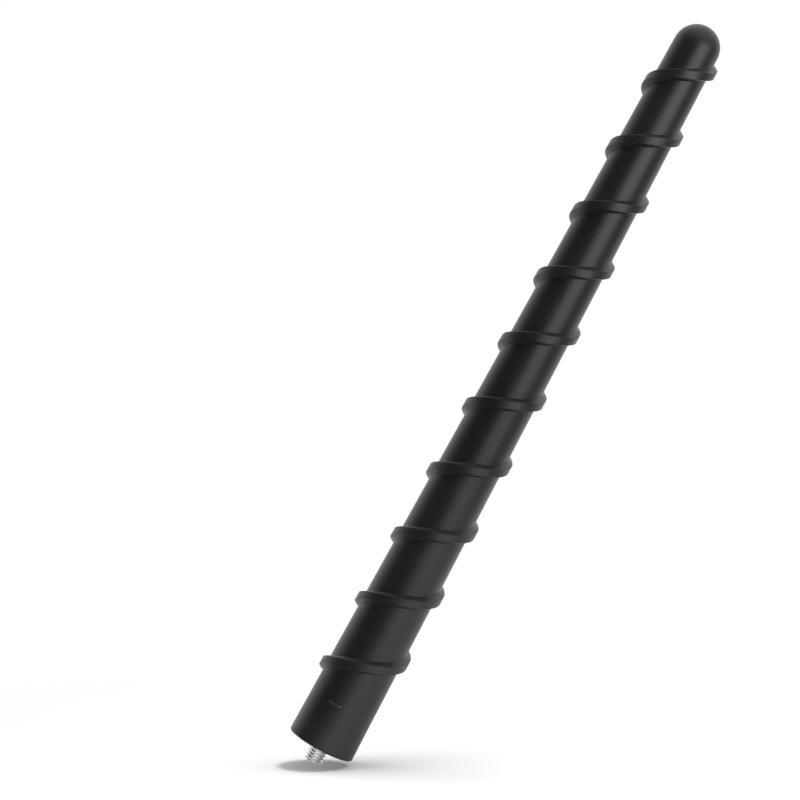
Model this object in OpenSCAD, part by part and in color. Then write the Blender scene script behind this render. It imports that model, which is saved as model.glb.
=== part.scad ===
// Short flexible car mast aerial: a tapered rubber mast with a spiral rib,
// moulded over a wound aerial core and screwed to the car by a threaded stud.
// The axis is Z, the tip points up, and the foot's seat face lies at Z = 0.

/* [Mast] */
// Height of the rubber mast from its seat face to its tip
mast_len = 200; // [160:1:260]
// Diameter of the mast at its foot
foot_d = 17.2; // [14:0.1:22]
// Diameter of the mast where its domed tip starts
tip_d = 11.7; // [9:0.1:14]
// Rounding of the foot's lower edge
foot_round = 0.4; // [0.3:0.1:1.5]

/* [Spiral rib] */
// Climb of the spiral rib in one turn
rib_pitch = 18.1; // [12:0.1:30]
// Width of the rib at its root, measured along the mast
rib_w = 3; // [1.6:0.1:4]
// Height of the rib above the mast
rib_h = 1.5; // [0.8:0.1:2.5]
// Plain length of the foot below the rib's lower end
rib_start = 15.5; // [8:0.5:40]
// Plain length of the tip above the rib's upper end
rib_stop = 7.5; // [4:0.5:30]
// Direction, seen from above, in which the rib's lower end lies
rib_bearing = 118; // [0:1:359]
// Part of a turn over which each end of the rib sinks into the mast
rib_fade = 45; // [20:5:120]

/* [Foot mark] */
// Direction, seen from above, in which the small moulded tick lies
tick_bearing = 257; // [0:1:359]
// Height of the small moulded tick above the seat face
tick_z = 11.8; // [6:0.1:15]
// Width of the tick around the mast
tick_w = 3.7; // [2:0.1:6]
// Thickness of the tick along the mast
tick_t = 0.8; // [0.3:0.05:1]
// Height of the tick above the mast
tick_h = 0.34; // [0.1:0.02:0.5]

/* [Stud] */
// Major diameter of the stud's thread
stud_d = 5; // [4:0.5:6]
// Pitch of the stud's thread
stud_pitch = 0.8; // [0.7:0.05:1]
// Length of thread that stands out of the foot
stud_out = 4.5; // [3:0.5:12]
// Length of thread held in the ferrule
stud_in = 8; // [5:0.5:12]

/* [Ferrule] */
// Diameter over the ferrule's knurl
ferrule_d = 9.6; // [8.5:0.1:12]
// Length of the ferrule's thick, knurled part
ferrule_len = 13; // [11:0.5:18]
// Number of teeth round the knurl
knurl_teeth = 28; // [18:1:40]
// Depth of the knurl
knurl_depth = 0.4; // [0.2:0.05:0.6]
// Depth of the ring groove that locks the rubber to the ferrule
groove_depth = 0.9; // [0.4:0.1:1.2]
// Width of that ring groove
groove_w = 2; // [1:0.1:3]
// Wall of the ferrule's neck around the rod
neck_wall = 0.65; // [0.5:0.05:0.9]
// Length of the ferrule's neck
neck_len = 9; // [6:0.5:14]

/* [Aerial core] */
// Diameter of the glass-fibre rod
rod_d = 5.6; // [4:0.1:6.5]
// Diameter of the aerial wire
wire_d = 0.6; // [0.4:0.05:0.8]
// Climb of the aerial wire in one turn
wire_pitch = 4.5; // [3.5:0.1:8]
// Wall of the shrink sleeve over the winding
sleeve_wall = 0.4; // [0.3:0.05:0.8]
// Rubber between the end of the core and the tip
tip_cover = 14; // [11:0.5:30]

/* [Hidden] */
$fn = 96;

// Clearance left at every seat inside the mast
gap = 0.05;
// Length of rod and of ferrule left bare at each end of the winding
wire_margin = 2;
// Depth by which a raised shape on the rubber is rooted in it
root = 0.4;
// Width of the plain land below the knurl and of the flange above the ring groove
land_w = 1.5;
// Step from the bottom of the knurl's teeth down to the plain land
land_step = 0.2;
// Wall between the stud's hole and the rod's socket in the ferrule
web = 1;
// Chamfer on turned edges
edge = 0.3;
// Overlap of a cutting shape past the face that it opens
past = 1;

// Taper and domed tip of the mast
foot_r = foot_d / 2;
tip_r = tip_d / 2;
dome_z = mast_len - tip_r;
function mast_r(z) =
    z < dome_z ? foot_r + (tip_r - foot_r) * z / dome_z : sqrt(pow(tip_r, 2) - pow(z - dome_z, 2));

// Radii from the core outwards, each from the one it sits on
rod_r = rod_d / 2;
wire_r = wire_d / 2;
// The wire is drawn in straight steps, which must clear the rod at their middles
wire_sides = 6;
wire_steps = 16;
coil_sag = (rod_r + wire_r) * (1 / cos(180 / wire_steps) - 1);
coil_r = rod_r + gap + wire_r + coil_sag;
neck_r = max(rod_r + gap + neck_wall, coil_r + wire_r);
sleeve_in_r = neck_r + gap;
sleeve_r = sleeve_in_r + sleeve_wall;
ferrule_r = ferrule_d / 2;
thread_r = stud_d / 2;
// Stud and ferrule mesh at the pitch diameter of their thread
pitch_share = 0.325;
pitch_r = thread_r - pitch_share * stud_pitch;
thread_gap = 0.01;

// Heights of the core's pieces
neck_top = ferrule_len + neck_len;
rod_z = stud_in + edge + web;
core_top = mast_len - tip_cover;
coil_z = neck_top + wire_margin;
coil_top = core_top - wire_margin;
sleeve_z = ferrule_len + gap;

coil_turns = (coil_top - coil_z) / wire_pitch;

// Turned steps of the ferrule, each with its radius, bottom and top:
// a plain land, the knurled band, the ring groove, a flange and the neck
groove_z = ferrule_len - land_w - groove_w;
ferrule_steps = [
    [ferrule_r - knurl_depth - land_step, 0, land_w],
    [ferrule_r, land_w, groove_z],
    [ferrule_r - groove_depth, groove_z, ferrule_len - land_w],
    [ferrule_r, ferrule_len - land_w, ferrule_len],
    [neck_r, ferrule_len, neck_top]
];
knurled_step = 1;

// Straight steps in the rounding of the foot's edge
corner_steps = 5;

// Rib: rings of points along a helix, each ring a rounded ridge rooted in the mast
rib_steps = 24;
ridge_points = 8;
// Squareness of the ridge: 1 is an ellipse, and less is a fuller ridge
ridge_power = 0.4;
rib_turns = (mast_len - rib_stop - rib_start) / rib_pitch;

// Solder: a small cone round the wire's tail on the ferrule's neck
solder_r = 2.5 * wire_r;
solder_top_r = wire_r + 2 * gap;
solder_h = 5 * wire_r;

// Joins equal rings of points into one closed solid
module ring_sweep(rings) {
    n = len(rings[0]);
    last = len(rings) - 1;
    sides = [
        for (i = [0:last - 1], j = [0:n - 1])
            let (a = i * n + j, b = i * n + (j + 1) % n)
                each [[a, b, b + n], [a, b + n, a + n]]
    ];
    start_cap = [for (j = [n - 1:-1:0]) j];
    end_cap = [for (j = [0:n - 1]) last * n + j];
    polyhedron(points = [for (ring = rings) each ring], faces = concat([start_cap, end_cap], sides));
}

// Share of the rib's full section, falling smoothly to nothing at its ends
function rib_share(turned) =
    let (from_end = min(turned, rib_turns * 360 - turned) / rib_fade)
        from_end >= 1 ? 1 : sin(90 * from_end);

// Half-outline of the rib's section: along the mast, then out from its surface
function ridge(k) =
    let (a = 180 * k / (ridge_points - 1), c = cos(a), s = sin(a))
        [-sign(c) * pow(abs(c), ridge_power) * rib_w / 2, pow(s, ridge_power) * rib_h];

// One ring of the rib, rooted in the mast by two inner corners
function rib_ring(turned) =
    let (
        share = rib_share(turned),
        middle = rib_start + rib_pitch * turned / 360,
        bearing = rib_bearing + turned,
        crest = [for (k = [0:ridge_points - 1]) [ridge(k).x, ridge(k).y * share - root / 2 * (1 - share)]],
        outline = concat([[-rib_w / 2, -root]], crest, [[rib_w / 2, -root]])
    )
        [for (p = outline)
            let (z = middle + p.x, r = mast_r(z) + p.y)
                [r * cos(bearing), r * sin(bearing), z]];

module spiral_rib() {
    count = ceil(rib_turns * rib_steps);
    ring_sweep([for (i = [0:count]) rib_ring(rib_turns * 360 * i / count)]);
}

// Half-outline of the mast, with its rounded foot and domed tip
module mast_outline() {
    corner = [
        for (k = [0:corner_steps])
            let (a = 90 * k / corner_steps)
                foot_round * [sin(a), 1 - cos(a)]
    ];
    polygon(concat(
        [[0, 0]],
        [for (p = corner) [foot_r - foot_round, 0] + p],
        [[tip_r, dome_z], [0, dome_z]]
    ));
    translate([0, dome_z])
        intersection() {
            circle(tip_r);
            square(tip_r);
        }
}

// One turned step of the ferrule, grown by a clearance for the rubber round it
module turned_step(step, grow = 0) {
    translate([0, 0, step[1] - grow]) cylinder(r = step[0] + grow, h = step[2] - step[1] + 2 * grow);
}

// Space in the rubber that the ferrule and the sleeved core fill
module core_space() {
    for (step = ferrule_steps) turned_step(step, gap);
    translate([0, 0, ferrule_len]) cylinder(r = sleeve_r + gap, h = core_top + gap - ferrule_len);
}

// Small moulded tick on the front of the foot
module foot_tick() {
    r = mast_r(tick_z);
    turn = tick_w / r * 180 / PI;
    rotate([0, 0, tick_bearing - turn / 2])
        rotate_extrude(angle = turn)
            translate([r - root, tick_z - tick_t / 2]) square([root + tick_h, tick_t]);
}

module sheath() {
    color("#1c1c1d")
        difference() {
            union() {
                rotate_extrude() mast_outline();
                spiral_rib();
                foot_tick();
            }
            core_space();
        }
}

// Threaded stud, drawn at its thread's major diameter where it stands free
module stud() {
    color("#c9c9c6") {
        cylinder(r = pitch_r, h = stud_in);
        translate([0, 0, -stud_out + edge]) cylinder(r = thread_r, h = stud_out - edge);
        translate([0, 0, -stud_out]) cylinder(r1 = thread_r - edge, r2 = thread_r, h = edge);
    }
}

// Knurled band of straight teeth, in place of the plain step
module knurl(step) {
    points = [
        for (i = [0:2 * knurl_teeth - 1])
            let (a = 180 * i / knurl_teeth, r = step[0] - (i % 2) * knurl_depth)
                [r * cos(a), r * sin(a)]
    ];
    translate([0, 0, step[1]]) linear_extrude(height = step[2] - step[1]) polygon(points);
}

module ferrule() {
    color("#b08d4c")
        difference() {
            union() {
                for (i = [0:len(ferrule_steps) - 1])
                    if (i != knurled_step) turned_step(ferrule_steps[i]);
                knurl(ferrule_steps[knurled_step]);
            }
            translate([0, 0, -past]) cylinder(r = pitch_r + thread_gap, h = past + stud_in + edge);
            translate([0, 0, rod_z]) cylinder(r = rod_r + gap, h = neck_top);
        }
}

module core_rod() {
    color("#d8cfae") {
        translate([0, 0, rod_z + gap]) cylinder(r1 = rod_r - edge, r2 = rod_r, h = edge);
        translate([0, 0, rod_z + gap + edge]) cylinder(r = rod_r, h = core_top - rod_z - gap - 2 * edge);
        translate([0, 0, core_top - edge]) cylinder(r1 = rod_r, r2 = rod_r - edge, h = edge);
    }
}

// One ring of the wire, square to its helix
function wire_ring(turned) =
    let (
        rise = wire_pitch / (2 * PI * coil_r),
        slope = atan(rise),
        z = coil_z + wire_pitch * turned / 360
    )
        [for (k = [0:wire_sides - 1])
            let (
                a = 360 * k / wire_sides,
                out = coil_r + wire_r * cos(a),
                back = -wire_r * sin(a) * sin(slope),
                up = wire_r * sin(a) * cos(slope)
            )
                [out * cos(turned) - back * sin(turned), out * sin(turned) + back * cos(turned), z + up]];

// One ring of the wire's tail, which drops from the helix to the ferrule's neck
function tail_ring(z) =
    [for (k = [0:wire_sides - 1])
        let (a = 360 * k / wire_sides)
            [coil_r + wire_r * cos(a), -wire_r * sin(a), z]];

module winding() {
    count = ceil(coil_turns * wire_steps);
    tail = [tail_ring(neck_top + gap), tail_ring(coil_z - wire_d)];
    helix = [for (i = [0:count]) wire_ring(coil_turns * 360 * i / count)];
    color("#b8673a") ring_sweep(concat(tail, helix));
}

module solder_joint() {
    color("#a9adb0")
        translate([0, 0, neck_top])
            difference() {
                intersection() {
                    translate([coil_r, 0, 0]) cylinder(r1 = solder_r, r2 = solder_top_r, h = solder_h);
                    cylinder(r = neck_r, h = solder_h);
                }
                translate([coil_r, 0, -past]) cylinder(r = wire_r + gap / 2, h = solder_h + 2 * past);
                translate([0, 0, -past]) cylinder(r = rod_r + gap, h = solder_h + 2 * past);
            }
}

module shrink_sleeve() {
    color("#2a2a2c")
        translate([0, 0, sleeve_z])
            difference() {
                cylinder(r = sleeve_r, h = core_top - sleeve_z);
                translate([0, 0, -past]) cylinder(r = sleeve_in_r, h = core_top - sleeve_z + 2 * past);
            }
}

sheath();
stud();
ferrule();
core_rod();
winding();
solder_joint();
shrink_sleeve();
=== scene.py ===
"""A short rubber mast aerial for a car, dressed around its construction model.

The mast is a moulded rubber sheath with one spiral rib, and its bright threaded stud stands out of
the foot. Inside are a brass ferrule, a glass-fibre rod and the wound aerial wire under a sleeve.
All lengths are in metres, with Z along the mast and Z = 0 at the foot's seat face.
"""

import math

import bmesh
import bpy
from bpy.props import FloatProperty, FloatVectorProperty, IntProperty, PointerProperty
from mathutils import Matrix, Vector


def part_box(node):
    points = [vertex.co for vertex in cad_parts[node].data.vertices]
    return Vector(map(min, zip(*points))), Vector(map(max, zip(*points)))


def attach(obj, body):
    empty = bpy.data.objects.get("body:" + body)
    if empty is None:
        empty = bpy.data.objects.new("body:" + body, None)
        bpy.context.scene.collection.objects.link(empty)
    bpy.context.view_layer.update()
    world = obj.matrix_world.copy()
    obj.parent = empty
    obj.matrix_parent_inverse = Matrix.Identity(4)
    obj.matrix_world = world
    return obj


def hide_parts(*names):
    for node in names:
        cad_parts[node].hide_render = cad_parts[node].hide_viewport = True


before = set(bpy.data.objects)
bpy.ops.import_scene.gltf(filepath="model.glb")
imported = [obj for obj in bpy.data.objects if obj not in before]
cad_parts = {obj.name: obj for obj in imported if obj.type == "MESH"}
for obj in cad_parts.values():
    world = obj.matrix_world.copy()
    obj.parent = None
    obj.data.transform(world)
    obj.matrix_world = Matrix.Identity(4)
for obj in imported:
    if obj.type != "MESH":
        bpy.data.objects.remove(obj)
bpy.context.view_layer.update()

bl_info = {
    "name": "Car Mast Aerial",
    "version": (1, 0, 0),
    "blender": (4, 5, 0),
    "location": "3D View > Sidebar > Aerial",
    "description": "Makes a rubber mast aerial with a spiral rib, a threaded stud and a wound core",
    "category": "Add Mesh",
}

MM = 0.001
TURN = 2 * math.pi
BODY = "root"
# Vertices nearer than this in metres are one, and edges sharper than this in degrees stay sharp
MERGE = 2e-6
SHARP_FROM = 25

# Corners of the construction nodes that the sizes come from
SHEATH_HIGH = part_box("sheath")[1]
STUD_LOW, STUD_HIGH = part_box("stud")
FERRULE_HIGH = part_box("ferrule")[1]
WIRE_LOW, WIRE_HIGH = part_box("winding")
SLEEVE_LOW, SLEEVE_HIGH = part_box("shrink_sleeve")


class MastSizes(bpy.types.PropertyGroup):
    """Sizes of the moulded rubber mast."""

    length: FloatProperty(
        name="Length", description="From the seat face to the tip",
        default=SHEATH_HIGH.z, unit="LENGTH")
    foot_radius: FloatProperty(
        name="Foot Radius", description="Radius of the mast at its foot",
        default=8.6 * MM, unit="LENGTH")
    tip_radius: FloatProperty(
        name="Tip Radius", description="Radius of the mast where its dome starts",
        default=5.85 * MM, unit="LENGTH")
    foot_round: FloatProperty(
        name="Foot Rounding", description="Rounding of the foot's lower edge",
        default=0.4 * MM, unit="LENGTH")
    rib_pitch: FloatProperty(
        name="Rib Pitch", description="Climb of the rib in one turn",
        default=18.1 * MM, unit="LENGTH")
    rib_width: FloatProperty(
        name="Rib Width", description="Width of the rib at its root, along the mast",
        default=3 * MM, unit="LENGTH")
    rib_height: FloatProperty(
        name="Rib Height", description="Height of the rib above the mast",
        default=1.5 * MM, unit="LENGTH")
    rib_start: FloatProperty(
        name="Rib Start", description="Height of the rib's lower end above the seat face",
        default=15.5 * MM, unit="LENGTH")
    rib_stop: FloatProperty(
        name="Rib Stop", description="Plain length of the tip above the rib's upper end",
        default=7.5 * MM, unit="LENGTH")
    rib_bearing: FloatProperty(
        name="Rib Bearing", description="Direction in which the rib's lower end lies",
        default=math.radians(118), subtype="ANGLE")
    rib_fade: FloatProperty(
        name="Rib Fade", description="Turn over which each end of the rib sinks into the mast",
        default=math.radians(45), subtype="ANGLE")
    tick_bearing: FloatProperty(
        name="Tick Bearing", description="Direction of the small moulded tick on the foot",
        default=math.radians(257), subtype="ANGLE")
    tick_place: FloatProperty(
        name="Tick Place", description="Height of the tick above the seat face",
        default=11.8 * MM, unit="LENGTH")
    tick_width: FloatProperty(
        name="Tick Width", description="Width of the tick around the mast",
        default=3.7 * MM, unit="LENGTH")
    tick_thickness: FloatProperty(
        name="Tick Thickness", description="Thickness of the tick along the mast",
        default=0.8 * MM, unit="LENGTH")
    tick_height: FloatProperty(
        name="Tick Height", description="Height of the tick above the mast",
        default=0.34 * MM, unit="LENGTH")


class StudSizes(bpy.types.PropertyGroup):
    """Sizes of the threaded stud."""

    radius: FloatProperty(
        name="Thread Radius", description="Major radius of the thread",
        default=STUD_HIGH.x, unit="LENGTH")
    pitch: FloatProperty(
        name="Thread Pitch", description="Climb of the thread in one turn",
        default=0.8 * MM, unit="LENGTH")
    held_radius: FloatProperty(
        name="Held Radius", description="Radius of the stud's end inside the ferrule",
        default=2.24 * MM, unit="LENGTH")


class WindingSizes(bpy.types.PropertyGroup):
    """Sizes of the aerial wire."""

    wire_radius: FloatProperty(
        name="Wire Radius", description="Radius of the wire",
        default=0.3 * MM, unit="LENGTH")
    pitch: FloatProperty(
        name="Winding Pitch", description="Climb of the wire in one turn",
        default=4.5 * MM, unit="LENGTH")
    tail: FloatProperty(
        name="Tail", description="Straight wire between the ferrule and the first turn",
        default=2 * MM, unit="LENGTH")
    sides: IntProperty(
        name="Sides", description="Sides of the wire's round section", default=10, min=6, max=24)


class Finishes(bpy.types.PropertyGroup):
    """Colours of the finishes."""

    rubber: FloatVectorProperty(
        name="Rubber", description="Colour of the moulded rubber",
        default=(0.008, 0.008, 0.0083), size=3, min=0, max=1, subtype="COLOR")
    steel: FloatVectorProperty(
        name="Steel", description="Colour of the plated stud",
        default=(0.93, 0.93, 0.92), size=3, min=0, max=1, subtype="COLOR")
    brass: FloatVectorProperty(
        name="Brass", description="Colour of the turned ferrule",
        default=(0.72, 0.52, 0.24), size=3, min=0, max=1, subtype="COLOR")
    fibre: FloatVectorProperty(
        name="Glass Fibre", description="Colour of the core rod",
        default=(0.72, 0.66, 0.46), size=3, min=0, max=1, subtype="COLOR")
    copper: FloatVectorProperty(
        name="Copper", description="Colour of the enamelled wire",
        default=(0.56, 0.21, 0.08), size=3, min=0, max=1, subtype="COLOR")
    solder: FloatVectorProperty(
        name="Solder", description="Colour of the solder",
        default=(0.6, 0.61, 0.62), size=3, min=0, max=1, subtype="COLOR")
    sleeve: FloatVectorProperty(
        name="Sleeve", description="Colour of the shrink sleeve",
        default=(0.025, 0.025, 0.027), size=3, min=0, max=1, subtype="COLOR")


class Value:
    """A number from a socket. Arithmetic on it adds Math nodes to its tree."""

    def __init__(self, tree, socket):
        self.tree = tree
        self.socket = socket

    def math(self, operation, *numbers):
        return self.tree.add("ShaderNodeMath", {"operation": operation}, dict(enumerate(numbers)))

    def __add__(self, other):
        return self.math("ADD", self, other)

    __radd__ = __add__

    def __sub__(self, other):
        return self.math("SUBTRACT", self, other)

    def __rsub__(self, other):
        return self.math("SUBTRACT", other, self)

    def __mul__(self, other):
        return self.math("MULTIPLY", self, other)

    __rmul__ = __mul__

    def __truediv__(self, other):
        return self.math("DIVIDE", self, other)

    def __rtruediv__(self, other):
        return self.math("DIVIDE", other, self)

    def __abs__(self):
        return self.math("ABSOLUTE", self)

    def least(self, other):
        return self.math("MINIMUM", self, other)

    def most(self, other):
        return self.math("MAXIMUM", self, other)

    def held(self, low, high):
        return self.most(low).least(high)

    def root(self):
        return self.math("SQRT", self)

    def sin(self):
        return self.math("SINE", self)

    def cos(self):
        return self.math("COSINE", self)

    def floor(self):
        return self.math("FLOOR", self)

    def ceil(self):
        return self.math("CEIL", self)

    def smooth(self, low, high):
        """0 below low and 1 above high, with a soft rise between them."""
        rise = ((self - low) / (high - low)).held(0, 1)
        return rise * rise * (3 - 2 * rise)

    def part(self, name):
        """Another output of the same node."""
        return Value(self.tree, self.socket.node.outputs[name])


class Tree:
    """Adds nodes to a node tree, from their settings and the values or links of their sockets."""

    def __init__(self, nodes):
        self.nodes = nodes

    def add(self, kind, settings=None, sockets=None, output=0):
        node = self.nodes.nodes.new(kind)
        for name, setting in (settings or {}).items():
            setattr(node, name, setting)
        for key, value in (sockets or {}).items():
            self.feed(node.inputs[key], value)
        return Value(self, node.outputs[output]) if len(node.outputs) else node

    def feed(self, socket, value):
        if isinstance(value, Value):
            self.nodes.links.new(value.socket, socket)
        else:
            socket.default_value = value


class Shape(Tree):
    """A Geometry Nodes tree with named sizes, which ends in real geometry with a material."""

    def __init__(self, name, lengths=(), counts=()):
        super().__init__(bpy.data.node_groups.new(name, "GeometryNodeTree"))
        interface = self.nodes.interface
        for label in lengths:
            interface.new_socket(name=label, in_out="INPUT", socket_type="NodeSocketFloat")
        for label in counts:
            interface.new_socket(name=label, in_out="INPUT", socket_type="NodeSocketInt")
        interface.new_socket(name="Material", in_out="INPUT", socket_type="NodeSocketMaterial")
        interface.new_socket(name="Geometry", in_out="OUTPUT", socket_type="NodeSocketGeometry")
        self.entry = self.nodes.nodes.new("NodeGroupInput")

    def size(self, label):
        return Value(self, self.entry.outputs[label])

    def close(self, geometry):
        """Ends the tree with real, smooth geometry that has the material."""
        real = self.add("GeometryNodeRealizeInstances", {}, {"Geometry": geometry})
        smooth = self.add("GeometryNodeSetShadeSmooth", {}, {"Geometry": real})
        skin = self.add("GeometryNodeSetMaterial", {}, {
            "Geometry": smooth, "Material": self.size("Material")})
        out = self.nodes.nodes.new("NodeGroupOutput")
        self.feed(out.inputs["Geometry"], skin)

    def grow(self, name, sizes):
        """A plain mesh object of what the tree makes at these sizes."""
        piece = bpy.data.objects.new(name, bpy.data.meshes.new(name))
        bpy.context.scene.collection.objects.link(piece)
        modifier = piece.modifiers.new(name, "NODES")
        modifier.node_group = self.nodes
        for item in self.nodes.interface.items_tree:
            if item.item_type == "SOCKET" and item.in_out == "INPUT":
                modifier[item.identifier] = sizes[item.name]
        depsgraph = bpy.context.evaluated_depsgraph_get()
        mesh = bpy.data.meshes.new_from_object(piece.evaluated_get(depsgraph))
        piece.modifiers.remove(modifier)
        mesh.materials.clear()
        mesh.materials.append(sizes["Material"])
        for face in mesh.polygons:
            face.material_index = 0
        piece.data = mesh
        return piece


def helical_skin(shape, steps, rows, crowding, low, high, pitch, first, bearing, radius):
    """Round skin between two heights, whose rows of faces climb with a helix.

    The rows follow the rib or thread, so its edges stay clean. radius(z, across, turn) gives the
    skin's radius from the height, the distance along the mast from the helix and the turns made.
    crowding is the share of even spacing that the rows keep: less crowds them on the helix.
    The rows reach half a pitch to each side of the helix, so the skin starts half a turn early, stops
    half a turn late and is held between the heights. The grid cuts its count to a whole number.
    """
    begin = ((low - first) / pitch - 0.5).floor()
    end = ((high - first) / pitch + 0.5).ceil()
    columns = (end - begin) * steps + 1.5
    grid = shape.add("GeometryNodeMeshGrid", {}, {
        "Size X": 1.0, "Size Y": 1.0, "Vertices X": columns, "Vertices Y": rows + 1})
    place = shape.add("ShaderNodeSeparateXYZ", {}, {0: shape.add("GeometryNodeInputPosition")})
    turn = begin + (place + 0.5) * (end - begin)
    across = place.part("Y")
    across = across * (crowding + (1 - crowding) * 4 * across * across)
    z = (first + pitch * (turn + across)).most(low).least(high)
    r = radius(z, across * pitch, turn)
    angle = bearing + TURN * turn
    position = shape.add("ShaderNodeCombineXYZ", {}, {
        0: r * angle.cos(), 1: r * angle.sin(), 2: z})
    bent = shape.add("GeometryNodeSetPosition", {}, {"Geometry": grid, "Position": position})
    return shape.add("GeometryNodeMergeByDistance", {}, {"Geometry": bent, "Distance": MERGE})


# Sheath: steps in a turn, rows in a pitch and their crowding. The ribbed stretch runs from the
# plain foot to part way up the dome, and arcs close it at both ends.
SHEATH_STEPS = 128
SHEATH_ROWS = 48
SHEATH_CROWDING = 0.18
DOME_STEPS = 12
FOOT_STEPS = 10
RIB_LOW = 9 * MM
RIB_HIGH_BELOW_TIP = 2.9 * MM
# Foot's tick: sides of its section, steps around the mast, how far its ends are rounded off, how
# deep it is rooted and how much lighter its painted highlight is. The painted highlight is whole
# over a share of the tick's length and fades out over the same share of its thickness.
TICK_SIDES = 16
TICK_STEPS = 20
TICK_ROUNDING = 0.98
TICK_ROOT = 0.1 * MM
TICK_HIGHLIGHT = 2.7
HIGHLIGHT_SHARE = 0.75
# Hollow: clearance round the ferrule and the core, and the ferrule's land, ring groove and flange
CORE_GAP = 0.05 * MM
LAND_LENGTH = 1.5 * MM
LAND_DEPTH = 0.6 * MM
GROOVE_LENGTH = 2 * MM
GROOVE_DEPTH = 0.9 * MM
FLANGE_LENGTH = 1.5 * MM
# Flat share of the rib's crest, and reach of its root fillets past its width
CREST_SHARE = 0.66
ROOT_REACH = 0.2 * MM


def rib_shape():
    """Tree of the mast's taper and its spiral rib."""
    shape = Shape("Spiral rib", (
        "Length", "Foot Radius", "Tip Radius", "Rib Pitch", "Rib Width", "Rib Height",
        "Rib Start", "Rib Stop", "Rib Bearing", "Rib Fade", "Low", "High"))
    length, foot, tip = shape.size("Length"), shape.size("Foot Radius"), shape.size("Tip Radius")
    pitch, first = shape.size("Rib Pitch"), shape.size("Rib Start")
    turns = (length - shape.size("Rib Stop") - first) / pitch
    fade = shape.size("Rib Fade") / TURN
    half_width = shape.size("Rib Width") / 2
    dome = length - tip

    def radius(z, across, turn):
        cone = foot + (tip - foot) * z.least(dome) / dome
        above = (z - dome).most(0)
        rounding = tip - (tip * tip - above * above).root()
        share = (turn.least(turns - turn) / fade).held(0, 1)
        height = (share * (math.pi / 2)).sin() * shape.size("Rib Height")
        flank = abs(across).smooth(half_width * CREST_SHARE, half_width + ROOT_REACH)
        return cone - rounding + height * (1 - flank)

    shape.close(helical_skin(
        shape, SHEATH_STEPS, SHEATH_ROWS, SHEATH_CROWDING, shape.size("Low"), shape.size("High"),
        pitch, first, shape.size("Rib Bearing"), radius))
    return shape


# Thread of 60 degrees: half its crest, the run of a flank and its depth as shares of the pitch, then
# steps in a turn, rows in a pitch and the chamfer of its ends
CREST_FLAT = 1 / 16
FLANK_RUN = 6 / 16
THREAD_DEPTH_SHARE = 0.613
STUD_STEPS = 64
STUD_ROWS = 16
STUD_CHAMFER = 0.5 * MM


def thread_shape():
    """Tree of the stud's threaded end, which runs down to its neck at both ends."""
    shape = Shape("Stud thread", ("Radius", "Pitch", "Low", "High", "Bearing"))
    crest, pitch = shape.size("Radius"), shape.size("Pitch")
    low, high = shape.size("Low"), shape.size("High")
    depth = THREAD_DEPTH_SHARE * pitch

    def radius(z, across, turn):
        fall = ((abs(across) / pitch - CREST_FLAT) / FLANK_RUN).held(0, 1)
        chamfer = crest - STUD_CHAMFER + (z - low).least(high - z)
        return (crest - depth * fall).least(chamfer)

    shape.close(helical_skin(
        shape, STUD_STEPS, STUD_ROWS, 1, low, high, pitch, low, shape.size("Bearing"), radius))
    return shape


# Points of the wire in one turn
WIRE_STEPS = 40


def winding_shape():
    """Tree of the aerial wire: a straight tail, then a helix round the rod."""
    lengths = ("Wire Radius", "Coil Radius", "Pitch", "Tail", "Low", "High")
    shape = Shape("Winding", lengths, ("Sides",))
    pitch, tail = shape.size("Pitch"), shape.size("Tail")
    first = shape.size("Low") + tail
    turns = (shape.size("High") - first) / pitch
    line = shape.add("GeometryNodeCurvePrimitiveLine", {"mode": "POINTS"}, {"End": (0, 0, 1)})
    count = (turns + 1) * WIRE_STEPS
    points = shape.add("GeometryNodeResampleCurve", {}, {"Curve": line, "Count": count})
    along = shape.add("GeometryNodeSplineParameter")
    turn = along * (turns + 1) - 1
    wound = turn.most(0)
    z = first + pitch * wound + tail * turn.least(0)
    coil = shape.size("Coil Radius")
    angle = TURN * wound
    position = shape.add("ShaderNodeCombineXYZ", {}, {
        0: coil * angle.cos(), 1: coil * angle.sin(), 2: z})
    path = shape.add("GeometryNodeSetPosition", {}, {"Geometry": points, "Position": position})
    section = shape.add("GeometryNodeCurvePrimitiveCircle", {}, {
        "Resolution": shape.size("Sides"), "Radius": shape.size("Wire Radius")})
    shape.close(shape.add("GeometryNodeCurveToMesh", {}, {
        "Curve": path, "Profile Curve": section, "Fill Caps": True}))
    return shape


# Values of a noise between which a strong tint goes from dark to light
STRONG = (0.3, 0.7)


def finish(name):
    """A new material with its tree, its Principled shader and Object coordinates in millimetres."""
    material = bpy.data.materials.new(name)
    material.use_nodes = True
    material.node_tree.nodes.clear()
    tree = Tree(material.node_tree)
    shader = tree.add("ShaderNodeBsdfPrincipled")
    tree.add("ShaderNodeOutputMaterial", {}, {"Surface": shader})
    spot = tree.add("ShaderNodeTexCoord").part("Object")
    place = tree.add("ShaderNodeMapping", {}, {"Vector": spot, "Scale": (1 / MM,) * 3})
    return material, tree, shader.socket.node, place


def mixed(tree, share, low, high):
    """A colour between two colours. A Mix node's colours are its sockets 6 and 7 and output 2."""
    return tree.add("ShaderNodeMix", {"data_type": "RGBA"}, {0: share, 6: low, 7: high}, 2)


def shaded(colour, factor):
    """A colour made lighter or darker, with its alpha."""
    return (*(min(1, c * factor) for c in colour), 1)


def noise(tree, place, waves, detail, stretch=None):
    """Soft noise from 0 to 1, with its waves per millimetre."""
    if stretch:
        place = tree.add("ShaderNodeMapping", {}, {"Vector": place, "Scale": stretch})
    return tree.add("ShaderNodeTexNoise", {}, {"Vector": place, "Scale": waves, "Detail": detail})


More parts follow.
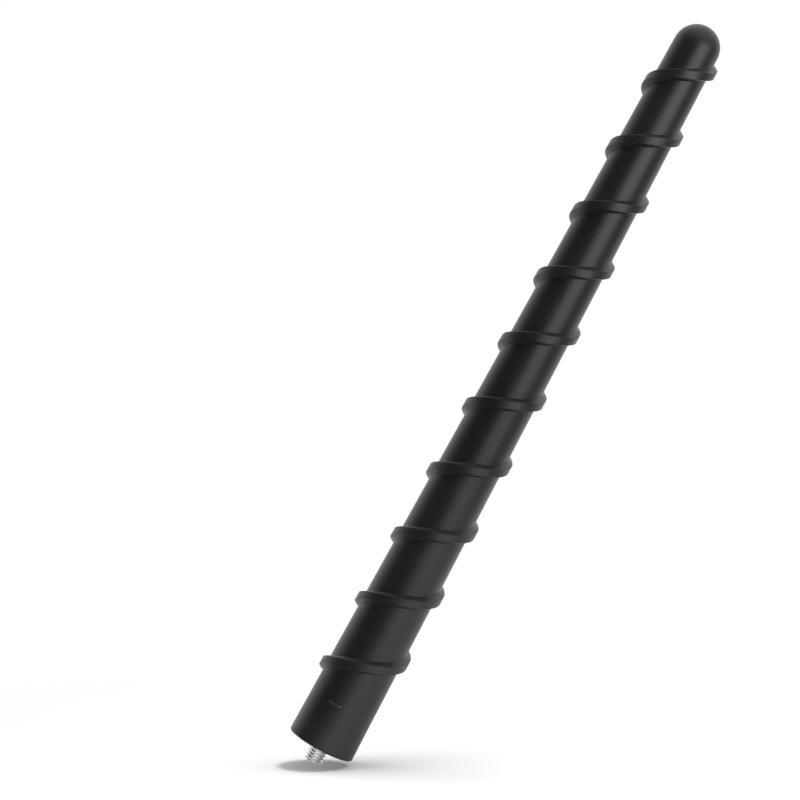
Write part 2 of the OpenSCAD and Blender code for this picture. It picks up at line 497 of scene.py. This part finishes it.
def emboss(tree, shader, height, depth):
    """Bump of that depth in metres on the shader's normal."""
    relief = tree.add("ShaderNodeBump", {}, {"Height": height, "Distance": depth})
    tree.feed(shader.inputs["Normal"], relief)


def marked_finish(
        name, colour, waves, detail, dark, light, rough, rougher,
        stretch=None, stain=None, strong=False, depth=0, metallic=0, coat=0):
    """A finish whose fine marks tint it from dark to light, roughen it and emboss it.

    waves, detail and stretch are the marks' noise, and stain the waves and detail of another one
    that tints it instead. A strong tint shows the middle of its noise alone.
    """
    material, tree, shader, place = finish(name)
    marks = noise(tree, place, waves, detail, stretch)
    tint = noise(tree, place, *stain) if stain else marks
    share = tint.smooth(*STRONG) if strong else tint
    tree.feed(shader.inputs["Base Color"], mixed(
        tree, share, shaded(colour, dark), shaded(colour, light)))
    tree.feed(shader.inputs["Roughness"], rough + rougher * marks)
    shader.inputs["Metallic"].default_value = metallic
    shader.inputs["Coat Weight"].default_value = coat
    if depth:
        emboss(tree, shader, marks, depth)
    return material


# Rubber: how dark and light its clouds are, its least roughness, what its clouds and its grain
# each add to that, its specular level, and the least share of the painted highlight the grain leaves
RUBBER_DARK = 0.85
RUBBER_LIGHT = 1.2
RUBBER_ROUGH = 0.36
RUBBER_ROUGHER = 0.06
RUBBER_SPECULAR = 0.42
HIGHLIGHT_LEAST = 0.5


def rubber_finish(colours, sizes):
    """Satin black moulded rubber, with a fine grain, and a painted highlight along the foot's tick."""
    material, tree, shader, place = finish("Moulded rubber")
    grain = noise(tree, place, waves=3.2, detail=3)
    cloud = noise(tree, place, waves=0.09, detail=3)
    dark, light = shaded(colours.rubber, RUBBER_DARK), shaded(colours.rubber, RUBBER_LIGHT)
    moulded = mixed(tree, cloud.smooth(*STRONG), dark, light)
    # The tick's crest is painted lighter: a painted highlight of light catching it, broken up by the
    # grain
    highlight = tick_highlight_mask(tree, place, sizes) * (HIGHLIGHT_LEAST + (1 - HIGHLIGHT_LEAST) * grain)
    highlit = shaded(colours.rubber, TICK_HIGHLIGHT)
    tree.feed(shader.inputs["Base Color"], mixed(tree, highlight, moulded, highlit))
    rough = RUBBER_ROUGH + RUBBER_ROUGHER * cloud + RUBBER_ROUGHER * grain
    tree.feed(shader.inputs["Roughness"], rough)
    shader.inputs["Specular IOR Level"].default_value = RUBBER_SPECULAR
    emboss(tree, shader, grain, depth=0.012 * MM)
    return material


def tick_highlight_mask(tree, place, sizes):
    """Painted highlight: 1 on the tick's crest and 0 elsewhere on the rubber, from places in
    millimetres.
    """
    spot = tree.add("ShaderNodeSeparateXYZ", {}, {0: place})
    x, y, z = spot, spot.part("Y"), spot.part("Z")
    out_x, out_y = math.cos(sizes.tick_bearing), math.sin(sizes.tick_bearing)
    facing = (x * out_x + y * out_y).smooth(0, 1)
    half_width, half_thickness = sizes.tick_width / 2 / MM, sizes.tick_thickness / 2 / MM
    beside = abs(y * out_x - x * out_y).smooth(HIGHLIGHT_SHARE * half_width, half_width)
    over = abs(z - sizes.tick_place / MM).smooth(0, HIGHLIGHT_SHARE * half_thickness)
    return facing * (1 - beside) * (1 - over)


def steel_finish(colours):
    """Bright plated steel with faint lines left by thread rolling."""
    return marked_finish(
        "Plated steel", colours.steel, waves=2.5, detail=3, stretch=(0.5, 0.5, 6),
        dark=0.86, light=1.08, rough=0.24, rougher=0.12, depth=0.006 * MM, metallic=1)


def brass_finish(colours):
    """Turned brass, with rings from the lathe."""
    return marked_finish(
        "Turned brass", colours.brass, waves=1.5, detail=2, stretch=(0.2, 0.2, 8), stain=(0.5, 3),
        dark=0.8, light=1.08, rough=0.24, rougher=0.14, depth=0.008 * MM, metallic=1)


def fibre_finish(colours):
    """Pultruded glass fibre, streaked along the rod."""
    return marked_finish(
        "Glass fibre", colours.fibre, waves=3, detail=3, stretch=(4, 4, 0.06), strong=True,
        dark=0.78, light=1.1, rough=0.34, rougher=0.16, depth=0.01 * MM)


def copper_finish(colours):
    """Copper wire under clear enamel."""
    return marked_finish(
        "Enamelled copper", colours.copper, waves=0.8, detail=2,
        dark=0.85, light=1.15, rough=0.26, rougher=0.1, metallic=1, coat=0.6)


def solder_finish(colours):
    """Bright solder with a slightly frosted skin."""
    return marked_finish(
        "Solder", colours.solder, waves=4, detail=3,
        dark=0.85, light=1.1, rough=0.22, rougher=0.2, metallic=1)


def sleeve_finish(colours):
    """Matt black shrink sleeve, drawn tight along the rod."""
    return marked_finish(
        "Shrink sleeve", colours.sleeve, waves=1.2, detail=3, stretch=(1, 1, 0.15),
        dark=0.85, light=1.25, rough=0.5, rougher=0.15, depth=0.015 * MM)


def arc(centre, radius, start, stop, steps):
    """Points of an arc in the plane of radius and height, angles in degrees."""
    angles = [math.radians(start + (stop - start) * i / steps) for i in range(steps + 1)]
    return [(centre[0] + radius * math.cos(a), centre[1] + radius * math.sin(a)) for a in angles]


def turn_outline(skin, outline, steps, bearing):
    """Adds a surface of revolution to a bmesh: the outline's points are (radius, height)."""
    rings = []
    for r, z in outline:
        if r == 0:
            rings.append([skin.verts.new((0, 0, z))] * steps)
            continue
        angles = [bearing + TURN * i / steps for i in range(steps)]
        rings.append([skin.verts.new((r * math.cos(a), r * math.sin(a), z)) for a in angles])
    for lower, upper in zip(rings, rings[1:]):
        for i in range(steps):
            j = (i + 1) % steps
            corners = dict.fromkeys((lower[i], lower[j], upper[j], upper[i]))
            skin.faces.new(corners)


def closed(piece, build):
    """Adds what build makes to a piece's mesh, joins it up and turns its faces outwards."""
    skin = bmesh.new()
    skin.from_mesh(piece.data)
    build(skin)
    bmesh.ops.remove_doubles(skin, verts=skin.verts, dist=MERGE)
    bmesh.ops.recalc_face_normals(skin, faces=skin.faces)
    for face in skin.faces:
        face.smooth = True
    skin.to_mesh(piece.data)
    skin.free()


def keep_edges(piece, degrees):
    """Smooth shading that keeps the edges sharper than this angle."""
    piece.data.set_sharp_from_angle(angle=math.radians(degrees))


def settle(piece, slot, *nodes):
    """Fixes a finished piece to the part, in place of its construction nodes."""
    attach(piece, BODY)
    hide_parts(*nodes)


class AERIAL_OT_sheath(bpy.types.Operator):
    """Makes the ribbed rubber mast with its domed tip, plain foot and hollow for the core"""

    bl_idname = "aerial.sheath"
    bl_label = "Rubber Mast"

    def execute(self, context):
        sizes = context.scene.aerial_mast
        rubber = rubber_finish(context.scene.aerial_finishes, sizes)
        high = sizes.length - RIB_HIGH_BELOW_TIP
        piece = rib_shape().grow("rubber_mast", {
            "Length": sizes.length, "Foot Radius": sizes.foot_radius, "Tip Radius": sizes.tip_radius,
            "Rib Pitch": sizes.rib_pitch, "Rib Width": sizes.rib_width, "Rib Height": sizes.rib_height,
            "Rib Start": sizes.rib_start, "Rib Stop": sizes.rib_stop, "Rib Bearing": sizes.rib_bearing,
            "Rib Fade": sizes.rib_fade, "Low": RIB_LOW, "High": high, "Material": rubber})
        closed(piece, lambda skin: self.add_ends(skin, sizes, high))
        closed(piece, lambda skin: self.add_tick(skin, sizes))
        keep_edges(piece, SHARP_FROM)
        settle(piece, "sheath_rubber", "sheath")
        return {"FINISHED"}

    def add_ends(self, skin, sizes, high):
        """Turns the dome, the foot and the hollow onto the ribbed stretch."""
        tip, dome = sizes.tip_radius, sizes.length - sizes.tip_radius
        rise = math.degrees(math.asin((high - dome) / tip))
        cap = arc((0, dome), tip, rise, 90, DOME_STEPS)[:-1] + [(0, sizes.length)]
        turn_outline(skin, cap, SHEATH_STEPS, sizes.rib_bearing)
        slope = (tip - sizes.foot_radius) / dome
        start = (sizes.foot_radius + slope * RIB_LOW, RIB_LOW)
        rounding = sizes.foot_round
        edge = arc((sizes.foot_radius - rounding, rounding), rounding, 0, -90, FOOT_STEPS)
        turn_outline(skin, [start] + edge + self.hollow(), SHEATH_STEPS, sizes.rib_bearing)

    def add_tick(self, skin, sizes):
        """Lays a small pillow-shaped tick on the foot, rooted in the rubber."""
        slope = (sizes.tip_radius - sizes.foot_radius) / (sizes.length - sizes.tip_radius)
        rings = []
        for j in range(TICK_STEPS + 1):
            side = 2 * j / TICK_STEPS - 1
            swell = math.sqrt(1 - (TICK_ROUNDING * side) ** 4)
            ring = []
            for i in range(TICK_SIDES):
                bend = TURN * i / TICK_SIDES
                reach = sizes.tick_height + TICK_ROOT if math.sin(bend) > 0 else TICK_ROOT
                lift = math.sin(bend) * swell * reach
                z = sizes.tick_place + sizes.tick_thickness / 2 * math.cos(bend)
                r = sizes.foot_radius + slope * z - TICK_ROOT + lift
                angle = sizes.tick_bearing + sizes.tick_width / 2 * side / r
                ring.append(skin.verts.new((r * math.cos(angle), r * math.sin(angle), z)))
            rings.append(ring)
        for left, right in zip(rings, rings[1:]):
            for i in range(TICK_SIDES):
                j = (i + 1) % TICK_SIDES
                skin.faces.new((left[i], left[j], right[j], right[i]))
        skin.faces.new(rings[0])
        skin.faces.new(rings[-1])

    def hollow(self):
        """Outline of the space for the ferrule and the sleeved core, from the seat face inwards."""
        ferrule, core = FERRULE_HIGH.x + CORE_GAP, SLEEVE_HIGH.x + CORE_GAP
        land, groove = ferrule - LAND_DEPTH, ferrule - GROOVE_DEPTH
        land_top = LAND_LENGTH - CORE_GAP
        shoulder, top = SLEEVE_LOW.z, SLEEVE_HIGH.z + CORE_GAP
        groove_top = shoulder - FLANGE_LENGTH - 2 * CORE_GAP
        groove_low = groove_top - GROOVE_LENGTH + 2 * CORE_GAP
        return [
            (land, 0), (land, land_top), (ferrule, land_top), (ferrule, groove_low),
            (groove, groove_low), (groove, groove_top), (ferrule, groove_top), (ferrule, shoulder),
            (core, shoulder), (core, top), (0, top)]


class AERIAL_OT_stud(bpy.types.Operator):
    """Makes the threaded stud"""

    bl_idname = "aerial.stud"
    bl_label = "Threaded Stud"

    def execute(self, context):
        sizes = context.scene.aerial_stud
        steel = steel_finish(context.scene.aerial_finishes)
        piece = thread_shape().grow("threaded_stud", {
            "Radius": sizes.radius, "Pitch": sizes.pitch, "Low": STUD_LOW.z, "High": 0.0,
            "Bearing": 0.0, "Material": steel})
        closed(piece, lambda skin: self.add_ends(skin, sizes))
        keep_edges(piece, SHARP_FROM)
        settle(piece, "stud_steel", "stud")
        return {"FINISHED"}

    def add_ends(self, skin, sizes):
        """Closes the free end and adds the plain end that the ferrule holds."""
        neck = sizes.radius - STUD_CHAMFER
        turn_outline(skin, [(0, STUD_LOW.z), (neck, STUD_LOW.z)], STUD_STEPS, 0)
        held, top = sizes.held_radius, STUD_HIGH.z
        turn_outline(skin, [(neck, 0), (held, 0), (held, top), (0, top)], STUD_STEPS, 0)


class AERIAL_OT_winding(bpy.types.Operator):
    """Winds the aerial wire round the core rod"""

    bl_idname = "aerial.winding"
    bl_label = "Winding"

    def execute(self, context):
        sizes = context.scene.aerial_winding
        copper = copper_finish(context.scene.aerial_finishes)
        piece = winding_shape().grow("aerial_wire", {
            "Wire Radius": sizes.wire_radius, "Coil Radius": WIRE_HIGH.x - sizes.wire_radius,
            "Pitch": sizes.pitch, "Tail": sizes.tail, "Low": WIRE_LOW.z,
            "High": WIRE_HIGH.z - sizes.wire_radius, "Sides": sizes.sides, "Material": copper})
        settle(piece, "wire_enamel", "winding")
        return {"FINISHED"}


class AERIAL_OT_core(bpy.types.Operator):
    """Gives the ferrule, the rod, the solder and the sleeve their finishes"""

    bl_idname = "aerial.core"
    bl_label = "Core Finishes"

    def execute(self, context):
        colours = context.scene.aerial_finishes
        finishes = {
            "ferrule": brass_finish, "core_rod": fibre_finish,
            "solder_joint": solder_finish, "shrink_sleeve": sleeve_finish}
        for node, make in finishes.items():
            material = make(colours)
            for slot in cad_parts[node].material_slots:
                slot.material = material
        return {"FINISHED"}


# The photograph's frame, and where it shows the seat's centre and the tip
PHOTO_WIDTH = 800
PHOTO_SEAT = Vector((320.8, 744.6))
PHOTO_TIP = Vector((707.5, 26.9))
CAMERA_ELEVATION = math.radians(1.6)
LENS = 105
SENSOR = 36
# Passes in which the camera's distance settles
CAMERA_PASSES = 8


def place_camera(length):
    """A camera that sees the seat and the tip where the photograph shows them."""
    data = bpy.data.cameras.new("Camera")
    data.lens = LENS
    data.sensor_width = SENSOR
    camera = bpy.data.objects.new("Camera", data)
    bpy.context.scene.collection.objects.link(camera)
    bpy.context.scene.camera = camera

    focal = LENS / SENSOR * PHOTO_WIDTH
    centre = PHOTO_WIDTH / 2
    seat = Vector((PHOTO_SEAT.x - centre, centre - PHOTO_SEAT.y))
    tip = Vector((PHOTO_TIP.x - centre, centre - PHOTO_TIP.y))
    nearer = length / 2 * math.sin(CAMERA_ELEVATION)
    reach = focal * length * math.cos(CAMERA_ELEVATION)
    distance = reach / (tip - seat).length
    for _ in range(CAMERA_PASSES):
        run = distance * (tip - seat) - nearer * (tip + seat)
        distance *= reach / run.length
    lean = math.atan2(run.x, run.y)

    sight = Vector((0, math.cos(CAMERA_ELEVATION), -math.sin(CAMERA_ELEVATION)))
    along = Vector((0, math.sin(CAMERA_ELEVATION), math.cos(CAMERA_ELEVATION)))
    side = Vector((1, 0, 0))
    right = side * math.cos(lean) + along * math.sin(lean)
    up = along * math.cos(lean) - side * math.sin(lean)
    depth = distance + nearer
    place = -(right * seat.x + up * seat.y) * depth / focal - sight * depth
    facing = Matrix((right, up, -sight)).transposed().to_4x4()
    camera.matrix_world = Matrix.Translation(place) @ facing


def area_lamp(name, place, target, width, height, power, casts):
    """A soft rectangular lamp that points at the target.

    One that casts shadows doesn't show in reflections, and one that doesn't cast them does.
    """
    data = bpy.data.lights.new(name, "AREA")
    data.shape = "RECTANGLE"
    data.size = width
    data.size_y = height
    data.energy = power
    data.use_shadow = casts
    lamp = bpy.data.objects.new(name, data)
    bpy.context.scene.collection.objects.link(lamp)
    lamp.visible_glossy = not casts
    lamp.location = place
    lamp.rotation_euler = (Vector(target) - Vector(place)).to_track_quat("-Z", "Y").to_euler()


# The floor is level in the photograph, where the mast leans to the right over it. It is whole round
# the foot and fades into the white surroundings further out. Its clearance keeps it off the stud,
# and its shade and its glow make it just white where all lamps reach it.
FLOOR_TILT = math.atan2(PHOTO_TIP.x - PHOTO_SEAT.x, PHOTO_SEAT.y - PHOTO_TIP.y)
FLOOR_UP = Vector((-math.sin(FLOOR_TILT), 0, math.cos(FLOOR_TILT)))
FLOOR_RIGHT = Vector((math.cos(FLOOR_TILT), 0, math.sin(FLOOR_TILT)))
FLOOR_BACK = Vector((0, 1, 0))
FLOOR_WHOLE = 0.1
FLOOR_REACH = 0.18
FLOOR_CLEARANCE = 0.1 * MM
FLOOR_SHADE = (0.365, 0.365, 0.365, 1)
FLOOR_GLOW = 0.165
WHITE = (1, 1, 1, 1)
# Level of the surroundings as light, and that of their front as reflections show it
WORLD_LEVEL = 0.2
FRONT_LEVEL = 0.03
# The back, the right and the top in reflections: the axis towards it, from where to where on that
# axis its level rises, and its level
WORLD_SIDES = (
    ("Y", -0.3, 0.6, 1.3),
    ("X", 0.4, 0.95, 0.3),
    ("Z", 0.2, 1, 0.8),
)
# Each lamp's name, place, target, width, height and power, and whether it casts shadows.
# The overhead ones cast the shadow on the floor, and the softbox models the rubber.
LAMPS = (
    ("Overhead", (-0.2, 0, 0.56), (0, 0, 0), 1.1, 1.1, 5.5, True),
    ("Overhead right", (0.1, 0, 0.8), (0, 0, 0), 0.24, 0.24, 3, True),
    ("Overhead left", (-0.14, 0, 0.79), (0, 0, 0), 0.24, 0.18, 8, True),
    ("Softbox", (0.46, -0.78, 0.38), (0, 0, 0.12), 0.85, 0.5, 6, False),
)


def floor_finish():
    """White floor that keeps the shadow, fades out all round and is clear from below."""
    material = bpy.data.materials.new("White floor")
    material.use_nodes = True
    material.node_tree.nodes.clear()
    tree = Tree(material.node_tree)
    spot = tree.add("ShaderNodeSeparateXYZ", {}, {0: tree.add("ShaderNodeTexCoord").part("Object")})
    x, y, z = spot, spot.part("Y"), spot.part("Z")
    below = tree.add("ShaderNodeNewGeometry").part("Backfacing")
    fading = (x * x + y * y + z * z).root().smooth(FLOOR_WHOLE, FLOOR_REACH).most(below)
    lit = tree.add("ShaderNodeBsdfDiffuse", {}, {"Color": FLOOR_SHADE})
    glow = tree.add("ShaderNodeEmission", {}, {"Color": WHITE, "Strength": FLOOR_GLOW})
    white = tree.add("ShaderNodeAddShader", {}, {0: lit, 1: glow})
    clear = tree.add("ShaderNodeBsdfTransparent")
    faded = tree.add("ShaderNodeMixShader", {}, {0: fading, 1: white, 2: clear})
    tree.add("ShaderNodeOutputMaterial", {}, {"Surface": faded})
    return material


class AERIAL_OT_stage(bpy.types.Operator):
    """Sets the floor, the lamps, the white surroundings and the camera"""

    bl_idname = "aerial.stage"
    bl_label = "Stage"

    def execute(self, context):
        self.add_floor()
        self.add_world()
        for lamp in LAMPS:
            area_lamp(*lamp)
        place_camera(context.scene.aerial_mast.length)
        context.scene.view_settings.view_transform = "Standard"
        return {"FINISHED"}

    def add_floor(self):
        """A square just below the stud's lowest point, level in the photograph."""
        mesh = bpy.data.meshes.new("floor")
        lowest = Vector((STUD_HIGH.x, 0, STUD_LOW.z)).dot(FLOOR_UP)
        middle = FLOOR_UP * (lowest - FLOOR_CLEARANCE)
        right, back = FLOOR_RIGHT * FLOOR_REACH, FLOOR_BACK * FLOOR_REACH
        near, far = middle - back, middle + back
        mesh.from_pydata([near - right, near + right, far + right, far - right], [], [(0, 1, 2, 3)])
        mesh.materials.append(floor_finish())
        floor = bpy.data.objects.new("floor", mesh)
        bpy.context.scene.collection.objects.link(floor)

    def add_world(self):
        """White to the camera, a plain soft light, and in reflections a level for each side."""
        world = bpy.data.worlds.new("Studio")
        bpy.context.scene.world = world
        world.use_nodes = True
        world.node_tree.nodes.clear()
        tree = Tree(world.node_tree)
        path = tree.add("ShaderNodeLightPath")
        spot = tree.add("ShaderNodeTexCoord").part("Generated")
        heading = tree.add("ShaderNodeSeparateXYZ", {}, {0: spot})
        shown = FRONT_LEVEL
        for axis, start, full, level in WORLD_SIDES:
            shown = (heading.part(axis).smooth(start, full) * level).most(shown)
        mirrored = path.part("Is Glossy Ray").most(path.part("Is Transmission Ray"))
        seen = path.part("Is Camera Ray")
        lit = WORLD_LEVEL + mirrored * (shown - WORLD_LEVEL)
        strength = lit + seen * (1 - lit)
        light = tree.add("ShaderNodeBackground", {}, {"Color": WHITE, "Strength": strength})
        tree.add("ShaderNodeOutputWorld", {}, {"Surface": light})


class VIEW3D_PT_aerial(bpy.types.Panel):
    """Lists the aerial's pieces with their sizes and colours"""

    bl_label = "Mast Aerial"
    bl_space_type = "VIEW_3D"
    bl_region_type = "UI"
    bl_category = "Aerial"

    def draw(self, context):
        for operator in OPERATORS:
            self.layout.operator(operator.bl_idname)
        for group in PROPERTIES:
            box = self.layout.box()
            values = getattr(context.scene, group)
            for name in values.__annotations__:
                box.prop(values, name)


OPERATORS = (AERIAL_OT_sheath, AERIAL_OT_stud, AERIAL_OT_winding, AERIAL_OT_core, AERIAL_OT_stage)
PROPERTIES = {
    "aerial_mast": MastSizes,
    "aerial_stud": StudSizes,
    "aerial_winding": WindingSizes,
    "aerial_finishes": Finishes,
}


def register():
    for name, group in PROPERTIES.items():
        bpy.utils.register_class(group)
        setattr(bpy.types.Scene, name, PointerProperty(type=group))
    for item in (*OPERATORS, VIEW3D_PT_aerial):
        bpy.utils.register_class(item)


def unregister():
    for item in (VIEW3D_PT_aerial, *reversed(OPERATORS)):
        bpy.utils.unregister_class(item)
    for name, group in reversed(PROPERTIES.items()):
        delattr(bpy.types.Scene, name)
        bpy.utils.unregister_class(group)


def main():
    """Makes every piece in order."""
    register()
    bpy.ops.aerial.sheath()
    bpy.ops.aerial.stud()
    bpy.ops.aerial.winding()
    bpy.ops.aerial.core()
    bpy.ops.aerial.stage()


if __name__ == "__main__":
    main()
